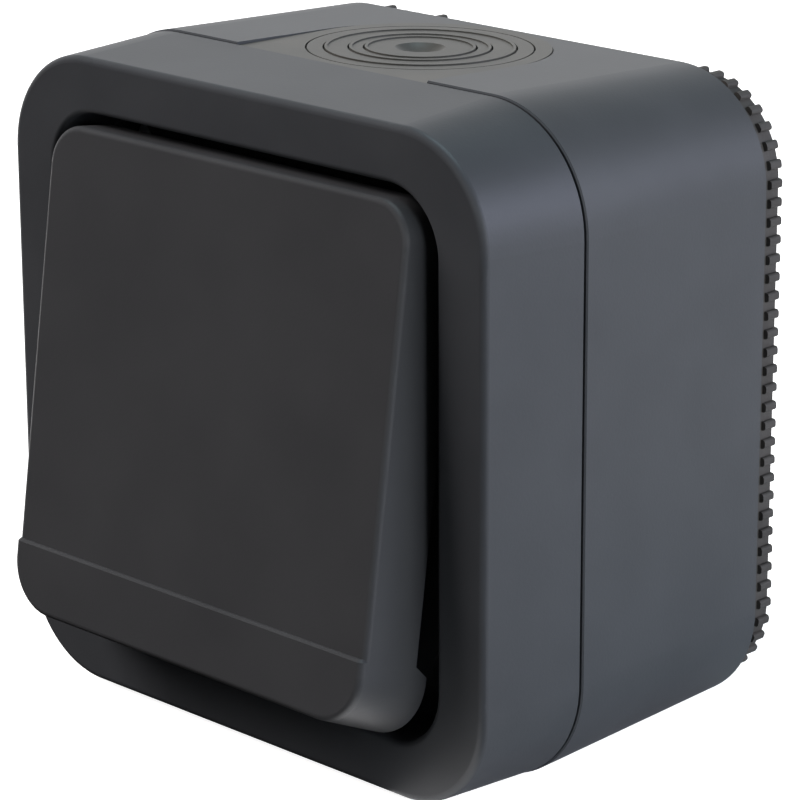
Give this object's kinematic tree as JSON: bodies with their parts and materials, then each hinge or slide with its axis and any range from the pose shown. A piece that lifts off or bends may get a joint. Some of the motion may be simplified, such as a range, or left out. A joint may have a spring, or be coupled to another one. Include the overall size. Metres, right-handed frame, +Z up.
{
  "type": "waterproof push button switch",
  "caption": "Square surface-mounted weatherproof wall switch with a tilted spring-return push rocker, a ringed cable-entry membrane on top and a ribbed wall seal.",
  "frame": {"origin": "midway between the two wall-fixing holes, on the rear box's back face", "axes": "+X to the right, +Z up, -Y out of the wall towards the user"},
  "size_m": [0.066, 0.051, 0.066],
  "materials": {
    "housing_plastic": "moulded, fine satin grain, anthracite",
    "rocker_plastic": "moulded, fine satin grain, anthracite",
    "seal_rubber": "moulded black rubber",
    "grommet_rubber": "moulded dark grey rubber",
    "mechanism_plastic": "moulded, off-white",
    "plunger_plastic": "moulded, natural white",
    "terminal_brass": "stamped, bare",
    "contact_silver": "silver contact metal",
    "zinc_steel": "zinc plated steel"
  },
  "bodies": {
    "housing": {"rear_box": "housing_plastic", "wall_seal": "seal_rubber", "cable_grommet": "grommet_rubber", "front_cover": "housing_plastic", "cover_seal": "seal_rubber", "cover_screws": "zinc_steel", "screw_seals": "seal_rubber", "sealing_boot": "seal_rubber", "mechanism_base": "mechanism_plastic", "mechanism_cover": "mechanism_plastic", "base_screws": "zinc_steel", "mechanism_screws": "zinc_steel", "return_spring": "zinc_steel", "left_contact": "terminal_brass", "right_contact": "terminal_brass", "fixed_tips": "contact_silver", "left_terminal": "terminal_brass", "right_terminal": "terminal_brass", "clamp_plates": "zinc_steel", "terminal_screws": "zinc_steel"},
    "rocker": {"rocker": "rocker_plastic"},
    "plunger": {"plunger": "plunger_plastic", "plunger_cap": "plunger_plastic", "contact_bridge": "terminal_brass", "bridge_tips": "contact_silver"}
  },
  "joints": [
    {"name": "rocker_press", "type": "hinge", "parent": "housing", "child": "rocker", "pos_m": [0, -0.03495, 0], "axis": [1, 0, 0], "range_deg": [0, 8], "stiffness_Nm_per_rad": 0.32, "springref_deg": -5.73},
    {"name": "plunger_slide", "type": "slide", "parent": "housing", "child": "plunger", "axis": [0, 1, 0], "range_m": [0, 0.0014], "deforming": ["return_spring", "sealing_boot"]}
  ],
  "couplings": [
    {"joint": "plunger_slide", "follows": "rocker_press", "m_per_rad": 0.01}
  ]
}
